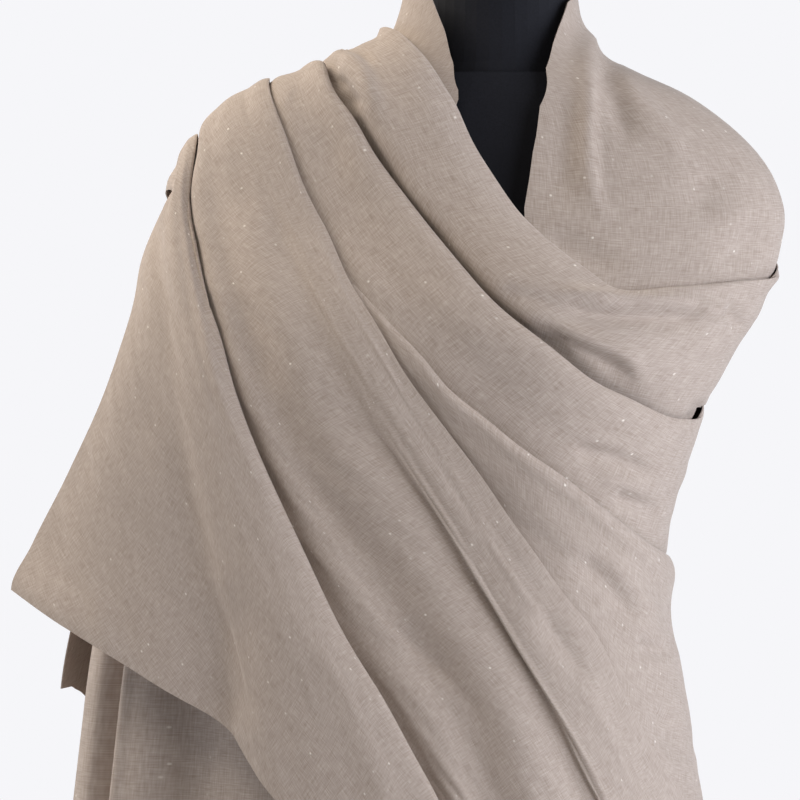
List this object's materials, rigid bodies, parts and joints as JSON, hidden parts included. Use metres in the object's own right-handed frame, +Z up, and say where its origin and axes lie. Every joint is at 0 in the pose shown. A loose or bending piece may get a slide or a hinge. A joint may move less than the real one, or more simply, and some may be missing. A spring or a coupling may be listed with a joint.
{
  "type": "pashmina shawl on a dress form",
  "caption": "Large woven shawl wrapped round a limbless dress form: hung over the back, pleated across the chest and thrown over one shoulder.",
  "frame": {"origin": "on the floor, on the pole's axis, in the middle of the base's underside", "axes": "+Z up along the pole; the front of the shawl faces -Y; +X towards the wearer's left, which is the viewer's right"},
  "size_m": [0.5851, 0.42, 1.5838],
  "materials": {
    "pashmina": "matte heathered plain weave",
    "black_jersey": "matte stretch jersey",
    "black_plastic": "matte",
    "dark_steel": "powder coated"
  },
  "bodies": {
    "root": {"left_shoulder": "pashmina", "right_collar": "pashmina", "back_panel": "pashmina", "hanging_end": "pashmina", "chest_roll": "pashmina", "second_pleat": "pashmina", "third_pleat": "pashmina", "front_panel": "pashmina", "shoulder_flap": "pashmina", "thrown_end": "pashmina", "form_torso": "black_jersey", "form_neck": "black_jersey", "form_cap": "black_plastic", "stand_pole": "dark_steel", "stand_base": "dark_steel"}
  },
  "joints": []
}
